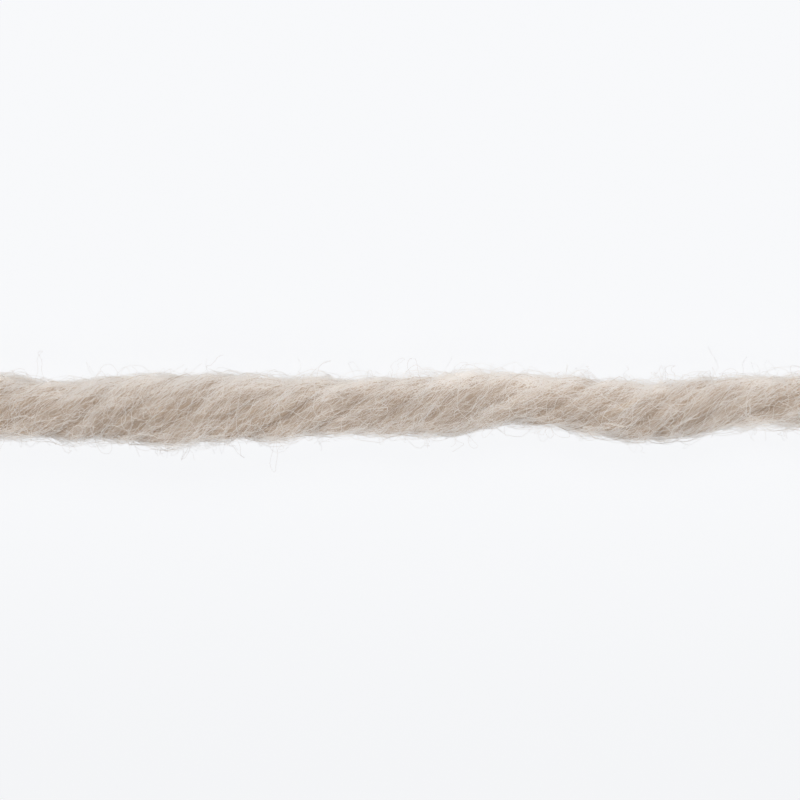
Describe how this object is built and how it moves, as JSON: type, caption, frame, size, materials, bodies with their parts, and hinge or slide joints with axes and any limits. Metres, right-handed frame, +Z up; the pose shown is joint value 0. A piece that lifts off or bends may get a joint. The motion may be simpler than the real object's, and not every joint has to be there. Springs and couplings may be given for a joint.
{
  "type": "merino wool yarn",
  "caption": "Straight cut length of soft, thick-and-thin plied wool knitting yarn in natural oatmeal, lying on a surface, for knitting, weaving or trimming.",
  "frame": {"origin": "on the surface that the yarn lies on, under the middle of the strand", "axes": "+X along the strand, +Z up from the surface, +Y sideways; seen from above the ply ridges rise towards +Y as they run towards +X"},
  "size_m": [0.048, 0.0037, 0.0033],
  "materials": {
    "merino_wool": "soft woollen surface of fine crimped fibres with a light fuzz, natural oatmeal, matte"
  },
  "bodies": {
    "root": {"yarn_strand": "merino_wool"}
  },
  "joints": []
}
